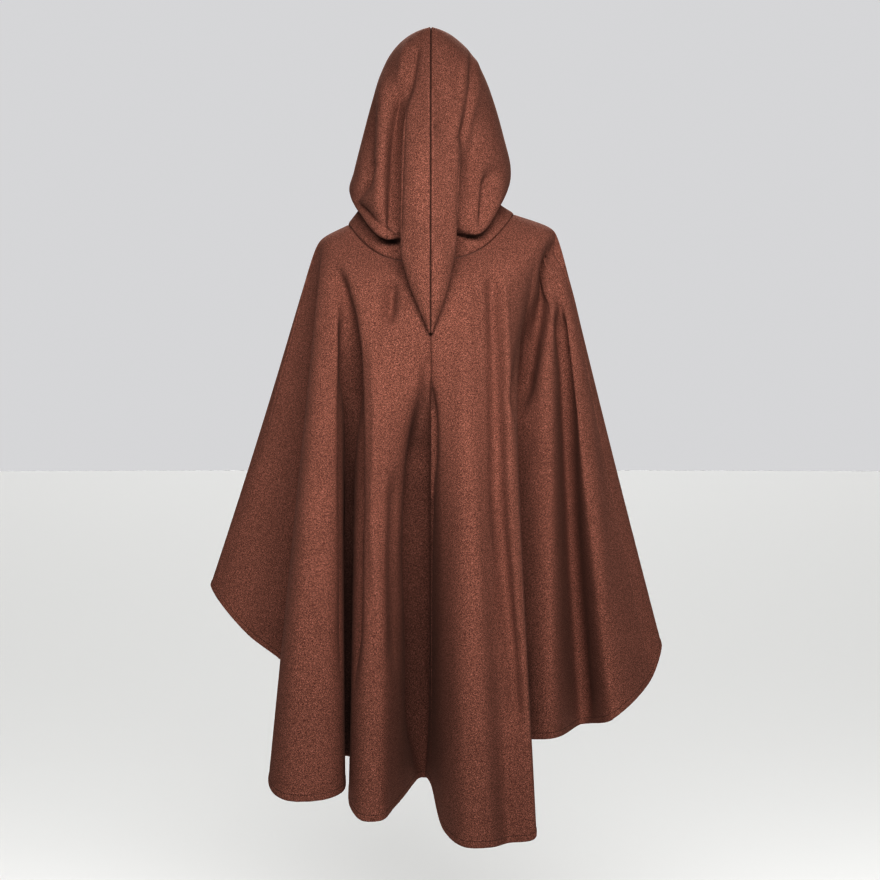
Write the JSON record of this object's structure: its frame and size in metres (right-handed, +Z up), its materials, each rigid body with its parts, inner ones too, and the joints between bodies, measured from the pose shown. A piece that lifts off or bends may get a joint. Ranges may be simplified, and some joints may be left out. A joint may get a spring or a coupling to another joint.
{
  "type": "hooded cloak",
  "caption": "Long wool cloak that hangs in deep soft folds, with a closely cut hood that ends in a long point down the back and a front that is open below a small fastening.",
  "frame": {"origin": "in the middle of the neck, level with the shoulders, where the wearer's neck and shoulders hold the cloak", "axes": "+Z up, +Y the way the wearer faces, +X to the wearer's right"},
  "size_m": [0.798, 0.5483, 1.3646],
  "materials": {
    "wool": "thick felted wool, reddish brown, matt",
    "steel": "dark steel wire"
  },
  "bodies": {
    "root": {"back_left": "wool", "back_right": "wool", "front_left": "wool", "front_right": "wool", "hood_left": "wool", "hood_right": "wool", "hook": "steel", "eye": "steel"}
  },
  "joints": []
}
